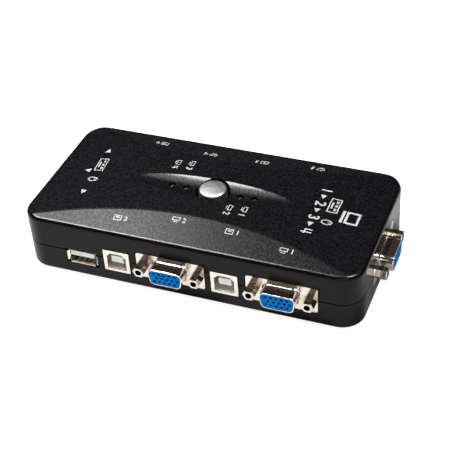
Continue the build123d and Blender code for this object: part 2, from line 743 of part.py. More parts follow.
def make_vga_contacts(name, face):
    """Fifteen socket contacts: a tube in front and a tail bent down into the board."""
    with BuildPart() as contacts:
        for x, y, row in pin_sites():
            drop = pin_drop(row)
            with BuildSketch(face.offset(drop - PIN_SIDE / 2)):
                with Locations((x, y)):
                    Rectangle(PIN_SIDE, PIN_SIDE)
            extrude(amount=-4.0 - drop + PIN_SIDE / 2)
            with BuildSketch(face.offset(-4.2)):
                with Locations((x, y)):
                    Circle(PIN_TUBE_R)
            extrude(amount=D_PROUD - PIN_DEPTH + 4.2)
            foot = face.from_local_coords((x, BOARD_BOTTOM - LEAD_BELOW - VGA_Z, drop))
            with BuildSketch(Plane(foot)):
                Rectangle(PIN_SIDE, PIN_SIDE)
            extrude(amount=VGA_Z + y + PIN_SIDE / 2 - BOARD_BOTTOM + LEAD_BELOW)
        with BuildSketch(face.offset(D_PROUD - PIN_DEPTH)):
            with Locations(*[(x, y) for x, y, _ in pin_sites()]):
                Circle(PIN_BORE_R)
        extrude(amount=-6.0, mode=Mode.SUBTRACT)
    save(contacts, f"{name}_contacts")


def make_screwlocks():
    """The ten threaded hex jackscrews, two at each video socket."""
    with BuildPart() as locks:
        for face in VGA_FACES.values():
            with BuildSketch(face):
                with Locations((-LOCK_PITCH / 2, 0), (LOCK_PITCH / 2, 0)):
                    RegularPolygon(LOCK_ACROSS / 2, 6, major_radius=False)
            extrude(amount=LOCK_PROUD)
            with BuildSketch(face):
                with Locations((-LOCK_PITCH / 2, 0), (LOCK_PITCH / 2, 0)):
                    Circle(LOCK_THREAD_R)
            extrude(amount=-BRACKET_DEPTH - 1.0)
            with BuildSketch(face.offset(LOCK_PROUD)):
                with Locations((-LOCK_PITCH / 2, 0), (LOCK_PITCH / 2, 0)):
                    Circle(LOCK_THREAD_R)
            extrude(amount=LOCK_HOLE_END - LOCK_PROUD, mode=Mode.SUBTRACT)
        ends = locks.edges().filter_by(GeomType.LINE)
        chamfer(ends.filter_by(lambda e: is_outer_end(e)), 0.35)
    save(locks, "screwlocks")


def is_outer_end(edge):
    """True for the hexagon edges at a jackscrew's free end."""
    spot = edge.center()
    for face in VGA_FACES.values():
        local = face.to_local_coords(spot)
        if abs(local.Z - LOCK_PROUD) < 0.01:
            return True
    return False


# ---- USB sockets ----


def make_usb_b(name, face):
    rise = BOARD_Z - USB_B_Z
    outwards = Axis(face.origin, face.z_dir)
    with BuildPart() as shell:
        with BuildSketch(face.offset(-USB_B_DEPTH)):
            Rectangle(USB_B_WIDTH, USB_B_HEIGHT)
        extrude(amount=USB_B_DEPTH)
        fillet(shell.edges().filter_by(outwards), 0.4)
        with BuildSketch(face.offset(-USB_B_DEPTH)):
            Rectangle(USB_B_WIDTH - 2 * USB_SHEET, USB_B_HEIGHT - 2 * USB_SHEET)
        extrude(amount=USB_B_DEPTH - USB_SHEET, mode=Mode.SUBTRACT)
        mouth = face.offset(-USB_B_DEPTH).location * usb_b_profile(*USB_B_OPENING)
        extrude(mouth, amount=2 * USB_B_DEPTH, mode=Mode.SUBTRACT)
        # Open underside behind the front frame, for the contact tails.
        with BuildSketch(face.offset(-USB_B_DEPTH)):
            with Locations((0, rise)):
                Rectangle(USB_B_WIDTH - 2 * USB_SHEET, 1.0)
        extrude(amount=USB_B_DEPTH - 2.0, mode=Mode.SUBTRACT)
        for side in (-1, 1):
            with BuildSketch(face.offset(USB_B_LEG - 0.8)):
                with Locations((side * (USB_B_WIDTH - USB_SHEET) / 2, rise + 1.0)):
                    Rectangle(USB_SHEET, LEG_REACH + 1.0, align=(Align.CENTER, Align.MAX))
            extrude(amount=1.6)
    save(shell, f"{name}_shell")
    inner_width = USB_B_WIDTH - 2 * USB_SHEET - 2 * FIT
    inner_height = USB_B_HEIGHT - 2 * USB_SHEET - 2 * FIT
    with BuildPart() as block:
        with BuildSketch(face.offset(-USB_B_DEPTH + 0.2)):
            Rectangle(inner_width, inner_height)
        extrude(amount=USB_B_DEPTH - 0.2 - USB_B_MOUTH)
        with BuildSketch(face.offset(-USB_B_MOUTH - 1.0)):
            with Locations((0, TONGUE_RISE)):
                Rectangle(TONGUE_WIDTH, TONGUE_HEIGHT)
        extrude(amount=USB_B_MOUTH + 1.0 - USB_SHEET - 0.5)
        fillet(block.faces().sort_by(outwards)[-1].edges(), 0.25)
        # Floor of the mouth, level with the lower edge of the opening.
        with BuildSketch(face.offset(-USB_B_MOUTH - 1.0)):
            with Locations((0, -inner_height / 2)):
                floor_thick = (inner_height - USB_B_OPENING[1]) / 2
                Rectangle(inner_width, floor_thick, align=(Align.CENTER, Align.MIN))
        extrude(amount=USB_B_MOUTH + 1.0 - USB_SHEET - FIT)
        with BuildSketch(face.offset(-USB_B_DEPTH)):
            with Locations((0, rise)):
                Rectangle(5.0, USB_B_HEIGHT - 2.0, align=(Align.CENTER, Align.MIN))
        extrude(amount=5.6, mode=Mode.SUBTRACT)
        # Grooves for the contacts, above and below the tongue.
        above = TONGUE_RISE + TONGUE_HEIGHT / 2
        below = TONGUE_RISE - TONGUE_HEIGHT / 2
        with BuildSketch(face.offset(-USB_B_MOUTH - 2.0)):
            with Locations((-1.25, above), (1.25, above), (-1.25, below), (1.25, below)):
                Rectangle(1.1, 0.5)
        extrude(amount=USB_B_MOUTH, mode=Mode.SUBTRACT)
    save(block, f"{name}_block")
    with BuildPart() as contacts:
        for (x, drop), y in zip(USB_B_TAILS, (below, below, above, above)):
            with BuildSketch(face.offset(drop - PIN_SIDE / 2)):
                with Locations((x, y)):
                    Rectangle(0.8, 0.3)
            extrude(amount=-2.4 - drop + PIN_SIDE / 2)
            foot = face.from_local_coords((x, BOARD_BOTTOM - LEAD_BELOW - USB_B_Z, drop))
            with BuildSketch(Plane(foot)):
                Rectangle(PIN_SIDE, PIN_SIDE)
            extrude(amount=USB_B_Z + y + 0.15 - BOARD_BOTTOM + LEAD_BELOW)
    save(contacts, f"{name}_contacts")


def make_usb_a(name, face):
    rise = BOARD_Z - USB_A_Z
    lips_width = USB_A_WIDTH + USB_A_FLARE[0]
    lips_height = USB_A_HEIGHT + USB_A_FLARE[1]
    with BuildPart() as shell:
        with BuildSketch(face.offset(-USB_A_DEPTH)):
            RectangleRounded(USB_A_WIDTH, USB_A_HEIGHT, 0.6)
        extrude(amount=USB_A_DEPTH - USB_A_LIP)
        # Flared lips round the mouth.
        with BuildSketch(face.offset(-USB_A_LIP)):
            RectangleRounded(USB_A_WIDTH, USB_A_HEIGHT, 0.6)
        with BuildSketch(face):
            RectangleRounded(lips_width, lips_height, 0.6)
        loft()
        with BuildSketch(face.offset(-USB_A_DEPTH + USB_SHEET)):
            RectangleRounded(USB_A_WIDTH - 2 * USB_SHEET, USB_A_HEIGHT - 2 * USB_SHEET, 0.3)
        extrude(amount=USB_A_DEPTH - USB_SHEET - USB_A_LIP, mode=Mode.SUBTRACT)
        with BuildSketch(face.offset(-USB_A_LIP)):
            RectangleRounded(USB_A_WIDTH - 2 * USB_SHEET, USB_A_HEIGHT - 2 * USB_SHEET, 0.3)
        with BuildSketch(face):
            RectangleRounded(lips_width - 1.6 * USB_SHEET, lips_height - 1.6 * USB_SHEET, 0.3)
        loft(mode=Mode.SUBTRACT)
        # Notches part the four lips at their corners.
        with BuildSketch(face.offset(-1.0)):
            with GridLocations(USB_A_WIDTH + 0.2, USB_A_HEIGHT + 0.1, 2, 2):
                Rectangle(1.6, 1.0)
        extrude(amount=1.5, mode=Mode.SUBTRACT)
        with BuildSketch(face.offset(-USB_A_DEPTH)):
            with Locations((0, -USB_A_HEIGHT / 2)):
                Rectangle(9.0, 1.0)
        extrude(amount=4.0, mode=Mode.SUBTRACT)
        for side in (-1, 1):
            with BuildSketch(face.offset(USB_A_LEG - 0.8)):
                with Locations((side * (USB_A_WIDTH - USB_SHEET) / 2, rise + 2.0)):
                    Rectangle(USB_SHEET, LEG_REACH + 2.0, align=(Align.CENTER, Align.MAX))
            extrude(amount=1.6)
    save(shell, f"{name}_shell")
    inner_width = USB_A_WIDTH - 2 * USB_SHEET - 2 * FIT
    inner_height = USB_A_HEIGHT - 2 * USB_SHEET - 2 * FIT
    with BuildPart() as block:
        with BuildSketch(face.offset(-USB_A_DEPTH + USB_SHEET + FIT)):
            Rectangle(inner_width, inner_height)
        extrude(amount=3.4)
        with BuildSketch(face.offset(-USB_A_DEPTH + 3.0)):
            with Locations((0, inner_height / 2)):
                Rectangle(11.1, 2.0, align=(Align.CENTER, Align.MAX))
        extrude(amount=USB_A_DEPTH - 3.0 - 0.5)
        with BuildSketch(face.offset(-USB_A_DEPTH)):
            with Locations((0, -inner_height)):
                Rectangle(8.4, 1.5 * inner_height, align=(Align.CENTER, Align.MIN))
        extrude(amount=2.8, mode=Mode.SUBTRACT)
        with BuildSketch(face.offset(-USB_A_DEPTH)):
            with Locations(*[(x, inner_height / 2 - 2.0) for x, _ in USB_A_TAILS]):
                Rectangle(1.2, 0.6)
        extrude(amount=USB_A_DEPTH - 1.9, mode=Mode.SUBTRACT)
    save(block, f"{name}_block")
    with BuildPart() as contacts:
        height = inner_height / 2 - 2.0
        for x, drop in USB_A_TAILS:
            with BuildSketch(face.offset(drop - PIN_SIDE / 2)):
                with Locations((x, height)):
                    Rectangle(1.0, 0.3)
            extrude(amount=-2.2 - drop + PIN_SIDE / 2)
            foot = face.from_local_coords((x, BOARD_BOTTOM - LEAD_BELOW - USB_A_Z, drop))
            with BuildSketch(Plane(foot)):
                Rectangle(PIN_SIDE, PIN_SIDE)
            extrude(amount=USB_A_Z + height + 0.15 - BOARD_BOTTOM + LEAD_BELOW)
    save(contacts, f"{name}_contacts")


# ---- Assembly ----

PORT_CUTTER = port_cutter()
make_top_cover(PORT_CUTTER)
make_bottom_cover(PORT_CUTTER)
make_screws("case_screws", CASE_SCREW_XY, case_level(BASE_Z + 2.4), 2.7, 1.9, SCREW_R - 0.04, 13.0, False)
make_screws("board_screws", BOARD_SCREW_XY, case_level(BOARD_Z), 2.3, 1.6, BOARD_SCREW_R - 0.04, 4.0, True)
make_rubber_feet()

make_circuit_board()
make_chips("video_switch_chips", [(-26.0, 0), (-37.0, 0), (27.0, 0), (38.0, 0)], 3.9, 9.9, 1.6, 8, 1.1)
make_chips("hub_chip", [(-16.0, 12.5)], 5.3, 10.2, 1.8, 14, 0.65)
make_chips("controller_chip", [(16.0, 12.5)], 7.5, 12.8, 2.3, 10, 1.15)
make_crystal()
make_capacitors()

make_button_cap()
make_button_plunger()
make_switch()
make_lamps()

for vga_name, vga_face in VGA_FACES.items():
    make_vga_shell(vga_name, vga_face)
    make_vga_block(vga_name, vga_face)
    make_vga_contacts(vga_name, vga_face)
make_screwlocks()
for usb_name, usb_face in USB_B_FACES.items():
    make_usb_b(usb_name, usb_face)
for usb_name, usb_face in USB_A_FACES.items():
    make_usb_a(usb_name, usb_face)
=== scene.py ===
import json
import math

import bmesh
import bpy
from mathutils import Matrix, Vector
from mathutils.bvhtree import BVHTree


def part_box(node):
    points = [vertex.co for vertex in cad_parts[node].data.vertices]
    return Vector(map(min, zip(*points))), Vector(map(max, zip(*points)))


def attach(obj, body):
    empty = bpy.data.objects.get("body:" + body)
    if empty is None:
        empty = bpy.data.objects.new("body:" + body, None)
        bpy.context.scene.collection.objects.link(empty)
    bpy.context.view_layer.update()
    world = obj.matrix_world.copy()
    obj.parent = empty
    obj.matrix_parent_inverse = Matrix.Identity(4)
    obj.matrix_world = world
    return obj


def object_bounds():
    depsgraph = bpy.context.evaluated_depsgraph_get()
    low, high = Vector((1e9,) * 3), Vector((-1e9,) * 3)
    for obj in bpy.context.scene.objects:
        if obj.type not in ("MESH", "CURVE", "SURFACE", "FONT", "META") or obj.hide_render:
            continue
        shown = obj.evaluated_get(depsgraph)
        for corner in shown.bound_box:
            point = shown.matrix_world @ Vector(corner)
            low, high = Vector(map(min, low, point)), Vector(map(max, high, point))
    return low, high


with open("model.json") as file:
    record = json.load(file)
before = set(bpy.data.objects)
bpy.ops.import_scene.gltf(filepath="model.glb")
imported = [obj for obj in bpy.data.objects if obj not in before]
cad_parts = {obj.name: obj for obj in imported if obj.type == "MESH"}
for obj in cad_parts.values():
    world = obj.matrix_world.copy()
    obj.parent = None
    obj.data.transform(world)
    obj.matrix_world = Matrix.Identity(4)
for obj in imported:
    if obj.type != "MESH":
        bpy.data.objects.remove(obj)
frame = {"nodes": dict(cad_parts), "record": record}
cad_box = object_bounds()

MM = 0.001
nodes = frame["nodes"]
lowest, highest = cad_box
centre = (lowest + highest) / 2


# ---- Node helpers ----

def add_node(tree, kind, sockets=None, **settings):
    """Adds a shader node, sets its properties and fills its sockets with values or links."""
    made = tree.nodes.new(kind)
    for name, value in settings.items():
        setattr(made, name, value)
    for socket, value in (sockets or {}).items():
        if isinstance(value, bpy.types.NodeSocket):
            tree.links.new(value, made.inputs[socket])
        else:
            made.inputs[socket].default_value = value
    return made


def grey(value):
    return (value, value, value, 1.0)


def object_coordinates(tree):
    return add_node(tree, "ShaderNodeTexCoord").outputs["Object"]


def stretched_coordinates(tree, scale):
    """Object coordinates scaled unevenly, for grain that runs one way."""
    mapping = add_node(tree, "ShaderNodeMapping", {"Vector": object_coordinates(tree), "Scale": scale})
    return mapping.outputs["Vector"]


def noise(tree, coordinates, size_mm, detail=2.0, roughness=0.5):
    """Noise whose features are about size_mm across."""
    settings = {"Vector": coordinates, "Scale": 1 / (size_mm * MM), "Detail": detail, "Roughness": roughness}
    return add_node(tree, "ShaderNodeTexNoise", settings).outputs["Fac"]


def spread(tree, value, low, high, to_low, to_high):
    """Maps value from low..high to to_low..to_high, clamped."""
    sockets = {"Value": value, "From Min": low, "From Max": high, "To Min": to_low, "To Max": to_high}
    return add_node(tree, "ShaderNodeMapRange", sockets).outputs["Result"]


def blend_colours(tree, factor, first, second):
    made = add_node(tree, "ShaderNodeMix", data_type="RGBA")
    for socket, value in ((0, factor), (6, first), (7, second)):
        if isinstance(value, bpy.types.NodeSocket):
            tree.links.new(value, made.inputs[socket])
        else:
            made.inputs[socket].default_value = value
    return made.outputs[2]


def multiply(tree, first, second):
    return add_node(tree, "ShaderNodeMath", {0: first, 1: second}, operation="MULTIPLY").outputs[0]


def bump(tree, height, depth_mm, strength=1.0, under=None):
    sockets = {"Height": height, "Distance": depth_mm * MM, "Strength": strength}
    if under is not None:
        sockets["Normal"] = under
    return add_node(tree, "ShaderNodeBump", sockets).outputs["Normal"]


def new_material(name, **constants):
    """A material and its Principled shader, with whole-surface numbers set on the shader's own sockets."""
    material = bpy.data.materials.new(name)
    material.use_nodes = True
    shader = material.node_tree.nodes["Principled BSDF"]
    for socket, value in constants.items():
        shader.inputs[socket.replace("_", " ")].default_value = value
    return material, material.node_tree, shader


def fill(tree, shader, **links):
    for socket, value in links.items():
        tree.links.new(value, shader.inputs[socket.replace("_", " ")])


# ---- Materials ----

def case_plastic():
    """Black ABS: spark-eroded grain on faces that look up, a smoother satin on the walls."""
    material, tree, shader = new_material("case_plastic", Specular_IOR_Level=0.16)
    where = object_coordinates(tree)
    facing = add_node(tree, "ShaderNodeNewGeometry").outputs["Normal"]
    up = add_node(tree, "ShaderNodeSeparateXYZ", {"Vector": facing}).outputs["Z"]
    top = spread(tree, up, 0.86, 0.95, 0.0, 1.0)
    grain = noise(tree, where, 0.85, detail=1.0)
    coarse = noise(tree, where, 1.2, detail=1.0)
    specks = spread(tree, grain, 0.38, 0.64, 0.0, 1.0)
    mottle = noise(tree, where, 9.0, detail=3.0)
    lid = blend_colours(tree, specks, (0.0004, 0.0003, 0.0008, 1), (0.0040, 0.0037, 0.0046, 1))
    wall = blend_colours(tree, mottle, (0.0012, 0.0005, 0.0007, 1), (0.0021, 0.0009, 0.0012, 1))
    colour = blend_colours(tree, top, wall, lid)
    lid_gloss = spread(tree, coarse, 0.35, 0.65, 0.31, 0.23)
    wall_gloss = spread(tree, mottle, 0.3, 0.7, 0.20, 0.26)
    gloss = add_node(tree, "ShaderNodeMix", {0: top, 2: wall_gloss, 3: lid_gloss}, data_type="FLOAT")
    depth = add_node(tree, "ShaderNodeMapRange", {"Value": top, "To Min": 0.12, "To Max": 1.0})
    height = multiply(tree, grain, depth.outputs["Result"])
    fill(tree, shader, Base_Color=colour, Roughness=gloss.outputs[0], Normal=bump(tree, height, 0.035))
    return material


def plated_metal(name, light, dark, rough_low, rough_high, scratch=0.0012, hollow_shade=None):
    """Plated sheet: patches of slightly different tone and gloss, with fine handling scratches.

    With that colour given, the plating is painted darker towards it in bores and inside corners, as painted
    shade.
    """
    material, tree, shader = new_material(name, Metallic=1.0)
    where = object_coordinates(tree)
    patches = noise(tree, where, 2.2, detail=3.0)
    tone = spread(tree, patches, 0.35, 0.65, 0.0, 1.0)
    scratches = noise(tree, stretched_coordinates(tree, (1.0, 1.0, 7.0)), 0.9, detail=4.0, roughness=0.7)
    gloss = spread(tree, scratches, 0.3, 0.7, rough_low, rough_high)
    colour = blend_colours(tree, tone, dark, light)
    if hollow_shade:
        # Painted shade: an ambient occlusion mask darkens the colour in bores and inside corners.
        nearby = add_node(tree, "ShaderNodeAmbientOcclusion", {"Distance": 4.0 * MM}, samples=8)
        unshaded = spread(tree, nearby.outputs["AO"], 0.15, 0.65, 0.0, 1.0)
        colour = blend_colours(tree, unshaded, hollow_shade, colour)
    fill(tree, shader, Base_Color=colour, Roughness=gloss, Normal=bump(tree, scratches, scratch))
    return material


def moulded_plastic(name, base, shade, rough, grain_mm=0.35, depth_mm=0.004, **constants):
    """Moulded plastic: faint flow mottling in colour and gloss, and a fine grain."""
    material, tree, shader = new_material(name, **constants)
    where = object_coordinates(tree)
    flow = spread(tree, noise(tree, where, 3.0, detail=3.0), 0.35, 0.65, 0.0, 1.0)
    grain = noise(tree, where, grain_mm, detail=2.0)
    gloss = spread(tree, grain, 0.3, 0.7, rough - 0.05, rough + 0.07)
    fill(tree, shader, Base_Color=blend_colours(tree, flow, shade, base), Roughness=gloss)
    fill(tree, shader, Normal=bump(tree, grain, depth_mm))
    return material


def clear_epoxy():
    """Clear lamp body, dark while the lamp is off; its dark smoke tint is painted shade for the lamp down in
    its hole.
    """
    material, tree, shader = new_material("clear_epoxy", Transmission_Weight=0.6, IOR=1.52, Roughness=0.06)
    milk = noise(tree, object_coordinates(tree), 0.8, detail=2.0)
    # Painted shade: the dark tint stands in for the shade in the lamp's hole.
    shade_tint = blend_colours(tree, milk, (0.020, 0.022, 0.020, 1), (0.045, 0.050, 0.045, 1))
    fill(tree, shader, Base_Color=shade_tint)
    return material


def rubber():
    material, tree, shader = new_material("rubber", Specular_IOR_Level=0.3)
    dust = spread(tree, noise(tree, object_coordinates(tree), 1.2, detail=4.0), 0.45, 0.7, 0.0, 1.0)
    fine = noise(tree, object_coordinates(tree), 0.2, detail=2.0)
    fill(tree, shader, Base_Color=blend_colours(tree, dust, grey(0.012), grey(0.03)))
    fill(tree, shader, Roughness=spread(tree, fine, 0.3, 0.7, 0.72, 0.88), Normal=bump(tree, fine, 0.01))
    return material


def printed_circuit():
    """Solder resist over copper: tracks show as slightly raised, lighter bands on a fine weave."""
    material, tree, shader = new_material("printed_circuit", Coat_Weight=0.4, Coat_Roughness=0.12)
    where = object_coordinates(tree)
    cells = add_node(tree, "ShaderNodeTexBrick", {"Vector": where, "Scale": 260.0, "Mortar Size": 0.03})
    cells.offset = 0.37
    weave = noise(tree, where, 0.5, detail=1.0)
    tracks = spread(tree, cells.outputs["Fac"], 0.2, 0.8, 1.0, 0.0)
    resist = blend_colours(tree, tracks, (0.008, 0.085, 0.030, 1), (0.012, 0.16, 0.06, 1))
    fill(tree, shader, Base_Color=resist)
    fill(tree, shader, Roughness=spread(tree, weave, 0.3, 0.7, 0.3, 0.42))
    fill(tree, shader, Normal=bump(tree, tracks, 0.03, under=bump(tree, weave, 0.01)))
    return material


def printing_ink():
    """White pad-printing ink, a little uneven, on the lid's grain."""
    material, tree, shader = new_material("printing_ink", Specular_IOR_Level=0.3)
    where = object_coordinates(tree)
    cover = spread(tree, noise(tree, where, 0.28, detail=3.0, roughness=0.6), 0.36, 0.5, 0.0, 1.0)
    fill(tree, shader, Base_Color=blend_colours(tree, cover, grey(0.13), grey(0.26)))
    fill(tree, shader, Roughness=spread(tree, cover, 0.0, 1.0, 0.6, 0.45), Normal=bump(tree, cover, 0.008))
    return material


# Nickel gets painted shade, a dull brown, in its bores and inside corners.
NICKEL = plated_metal("nickel_plate", (0.86, 0.79, 0.71, 1), (0.72, 0.64, 0.56, 1), 0.09, 0.17, 0.0004,
                      hollow_shade=(0.15, 0.115, 0.085, 1))
STEEL = plated_metal("zinc_steel", (0.60, 0.60, 0.61, 1), (0.45, 0.45, 0.46, 1), 0.26, 0.42)
SPRING = plated_metal("spring_steel", (0.68, 0.67, 0.65, 1), (0.55, 0.54, 0.52, 1), 0.18, 0.3)
CHROME = plated_metal("satin_chrome", (0.52, 0.52, 0.53, 1), (0.37, 0.37, 0.39, 1), 0.33, 0.39, 0.0003)
GOLD = plated_metal("contact_gold", (0.92, 0.68, 0.30, 1), (0.80, 0.55, 0.22, 1), 0.16, 0.28)
ALUMINIUM = plated_metal("aluminium_can", (0.80, 0.80, 0.82, 1), (0.66, 0.66, 0.68, 1), 0.25, 0.4)
BLUE = moulded_plastic("vga_blue", (0.0012, 0.19, 0.55, 1), (0.001, 0.16, 0.48, 1), 0.5,
                        Specular_IOR_Level=0.03)
WHITE = moulded_plastic("white_plastic", (0.86, 0.85, 0.82, 1), (0.78, 0.77, 0.74, 1), 0.32)
BLACK = moulded_plastic("black_plastic", (0.022, 0.022, 0.024, 1), (0.014, 0.014, 0.015, 1), 0.5)
CASE = case_plastic()
LAMP = clear_epoxy()
RUBBER = rubber()
CIRCUIT = printed_circuit()
INK = printing_ink()

MATERIAL_OF_SLOT = {
    "case_black": CASE, "rubber": RUBBER, "nickel": NICKEL, "screw_steel": STEEL, "chrome_cap": CHROME,
    "vga_blue": BLUE, "white_plastic": WHITE, "black_plastic": BLACK, "board_green": CIRCUIT,
    "contact_gold": GOLD, "spring_steel": SPRING, "can_aluminium": ALUMINIUM, "lamp_clear": LAMP,
}


def dress_cad_nodes():
    """Gives every CAD node the detailed material of its slot in the record."""
    slots = {part["node"]: part["material_slot"] for part in frame["record"]["subparts"]}
    for name, node in nodes.items():
        material = MATERIAL_OF_SLOT[slots[name]]
        for place in node.material_slots:
            place.material = material


# ---- Printed marks ----

INK_TOP = 0.025 * MM  # how far the ink stands above the lid
INK_SINK = 0.03 * MM  # how far its underside is sunk into it
STROKE_GAIN = 0.025  # extra stroke on each side of a numeral, as a share of its height
FONT_HEIGHT = 0.73  # height of a numeral in a font of size 1
ABOVE_LID = 0.1
lid = BVHTree.FromObject(nodes["top_cover"], bpy.context.evaluated_depsgraph_get())


def lid_height(x, y):
    return lid.ray_cast(Vector((x, y, ABOVE_LID)), Vector((0, 0, -1)))[0].z


def outline_curve(name, outlines):
    """A flat filled curve from closed outlines in mm; an outline inside another is a hole."""
    curve = bpy.data.curves.new(name, "CURVE")
    curve.dimensions = "2D"
    curve.fill_mode = "BOTH"
    curve.extrude = 1.0
    for outline in outlines:
        spline = curve.splines.new("POLY")
        spline.points.add(len(outline) - 1)
        for point, (u, v) in zip(spline.points, outline):
            point.co = (u, v, 0, 1)
        spline.use_cyclic_u = True
    return curve


def open_four(height):
    """A four with an open top, which stays clear when it is small."""
    corners = (
        (0.06, -0.5), (0.21, -0.5), (0.21, -0.22), (0.33, -0.22), (0.33, -0.08), (0.21, -0.08), (0.21, 0.5),
        (0.06, 0.5), (0.06, -0.08), (-0.18, -0.08), (-0.18, 0.5), (-0.33, 0.5), (-0.33, -0.22), (0.06, -0.22),
    )
    return [[(u * height, v * height) for u, v in corners]]


def numeral_curve(name, numeral, height):
    """A numeral with that height in mm, centred on its own middle."""
    if numeral == "4":
        return outline_curve(name, open_four(height))
    curve = bpy.data.curves.new(name, "FONT")
    curve.body = numeral
    curve.align_x = "CENTER"
    curve.align_y = "CENTER"
    curve.size = height / FONT_HEIGHT
    curve.extrude = 1.0
    curve.offset = STROKE_GAIN * height
    curve.resolution_u = 6
    return curve


def curve_mesh(curve):
    holder = bpy.data.objects.new("scratch", curve)
    bpy.context.scene.collection.objects.link(holder)
    bpy.context.view_layer.update()
    mesh = bpy.data.meshes.new_from_object(holder.evaluated_get(bpy.context.evaluated_depsgraph_get()))
    bpy.data.objects.remove(holder)
    return mesh


def printed(name, placed):
    """Joins curves into one thin print laid on the lid: each is (curve, x mm, y mm, turn in degrees)."""
    whole = bmesh.new()
    for curve, x, y, turn in placed:
        mesh = curve_mesh(curve)
        place = Matrix.Translation((x * MM, y * MM, 0)) @ Matrix.Rotation(math.radians(turn), 4, "Z")
        for vertex in mesh.vertices:
            top = vertex.co.z > 0
            spot = place @ Vector((vertex.co.x * MM, vertex.co.y * MM, 0))
            spot.z = lid_height(spot.x, spot.y) + (INK_TOP if top else -INK_SINK)
            vertex.co = spot
        whole.from_mesh(mesh)
    bmesh.ops.remove_doubles(whole, verts=whole.verts, dist=0.0005 * MM)
    mesh = bpy.data.meshes.new(name)
    whole.to_mesh(mesh)
    whole.free()
    mesh.materials.append(INK)
    piece = bpy.data.objects.new(name, mesh)
    bpy.context.scene.collection.objects.link(piece)
    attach(piece, "housing")
    return piece


def rectangle(u, v, width, height):
    """A rectangle's corners in mm, from its middle and its size."""
    return [(u + side * width / 2, v + up * height / 2) for side, up in ((-1, -1), (1, -1), (1, 1), (-1, 1))]


def frame_outline(u, v, width, height, line):
    """A rectangular ring drawn with a line of that width."""
    return [rectangle(u, v, width, height), rectangle(u, v, width - 2 * line, height - 2 * line)]


def triangle(width, height):
    """A triangle that points up."""
    return [[(-width / 2, -height / 2), (width / 2, -height / 2), (0, height / 2)]]


def screen_sign(width, height, line):
    """A small screen on its foot, for a video port."""
    outlines = frame_outline(0, height * 0.15, width, height * 0.7, line)
    outlines.append(rectangle(0, -height / 2 + line / 2, width * 0.6, line))
    return outlines


def plug_sign(width, height, line):
    """A square plug end with its contact block, for a USB port."""
    contacts = rectangle(0, height * 0.1, width * 0.46, height * 0.24)
    return frame_outline(0, 0, width, height, line) + [contacts]


# Sizes of the printed signs, in mm.
SIGN_WIDTH, SIGN_HEIGHT, SIGN_LINE = 3.5, 2.7, 0.34
NUMERAL = 2.5
SIGN_STEP = 2.3  # from a label's middle to its numeral
BACK_LABEL_SHIFT = 5.0  # the back labels stand this far to the left of their sockets
LAMP_SIGN_HEIGHT, LAMP_NUMERAL = 2.6, 2.9
ARROW = 2.8
TITLE_NUMERAL, TITLE_ARROW, TITLE_PITCH = 4.7, 2.7, 9.6
OVAL_SIDES = 28


def port_label(name, sign, number, x, y, turn):
    """A sign and a numeral side by side, read from the port's side of the case."""
    side = math.copysign(1, math.cos(math.radians(turn)))
    picture = outline_curve(name, sign(SIGN_WIDTH, SIGN_HEIGHT, SIGN_LINE))
    numeral = numeral_curve(name, number, NUMERAL)
    return [(picture, x - side * SIGN_STEP * 0.6, y, turn), (numeral, x + side * SIGN_STEP, y, turn)]


def node_x(name):
    low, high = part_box(name)
    return (low.x + high.x) / 2 / MM


def port_marks():
    front_labels = (
        ("pc2_usb_b_shell", plug_sign, "2", -28.2), ("pc2_vga_shell", screen_sign, "2", -23.5),
        ("pc1_usb_b_shell", plug_sign, "1", -24.4), ("pc1_vga_shell", screen_sign, "1", -28.6),
    )
    back_labels = (
        ("pc4_usb_b_shell", plug_sign, "4", 28.5), ("pc4_vga_shell", screen_sign, "4", 25.6),
        ("pc3_usb_b_shell", plug_sign, "3", 26.3), ("pc3_vga_shell", screen_sign, "3", 29.5),
    )
    rows = (
        ("port_marks_front", 0, 0.0, front_labels),
        ("port_marks_back", 180, BACK_LABEL_SHIFT, back_labels),
    )
    for name, turn, shift, labels in rows:
        placed = []
        for node, sign, number, y in labels:
            placed += port_label(name, sign, number, node_x(node) - shift, y, turn)
        printed(name, placed)


def lamp_marks():
    """A screen sign and the computer's numeral beside each lamp, read from the case's left end."""
    placed = []
    places = ((1, "4", 3.2, 13.0), (2, "3", 3.2, 13.6), (3, "2", 1.0, -12.0), (4, "1", 1.0, -11.2))
    for lamp, number, shift, y in places:
        x = node_x(f"indicator_led_{lamp}") - shift
        picture = outline_curve("lamp_marks", screen_sign(SIGN_WIDTH, LAMP_SIGN_HEIGHT, SIGN_LINE))
        placed.append((picture, x, y + 1.7, -90))
        placed.append((numeral_curve("lamp_marks", number, LAMP_NUMERAL), x, y - 2.2, -90))
    printed("lamp_marks", placed)


def keyboard_sign(width, height, line):
    """A keyboard: one row of three keys over a space bar."""
    outlines = frame_outline(0, 0, width, height, line)
    for key in (-1, 0, 1):
        outlines.append(rectangle(key * width * 0.27, 0.17 * height, width * 0.15, height * 0.2))
    outlines.append(rectangle(0, -0.2 * height, width * 0.44, height * 0.15))
    return outlines


def oval(width, height):
    turns = [math.tau * step / OVAL_SIDES for step in range(OVAL_SIDES)]
    return [(width / 2 * math.cos(turn), height / 2 * math.sin(turn)) for turn in turns]


def mouse_sign(width, height, line):
    """An oval mouse with a wheel."""
    wheel = rectangle(0, height * 0.2, line, height * 0.22)
    return [oval(width, height), oval(width - 2 * line, height - 2 * line), wheel]


def console_marks():
    """Arrows to the back, left end and front, with the signs of what plugs in there."""
    x = lowest.x / MM
    marks = (
        (triangle(ARROW, ARROW), x + 18.4, 16.5, 0),
        (triangle(ARROW, ARROW), x + 15.4, 0.3, 90),
        (triangle(ARROW, ARROW), x + 20.9, -15.6, 180),
        (keyboard_sign(9.4, 4.4, 0.45), x + 20.0, 5.4, -85),
        (mouse_sign(3.2, 4.6, 0.45), x + 20.9, -5.8, -85),
    )
    printed("console_marks", [(outline_curve("console_marks", drawn), *place) for drawn, *place in marks])


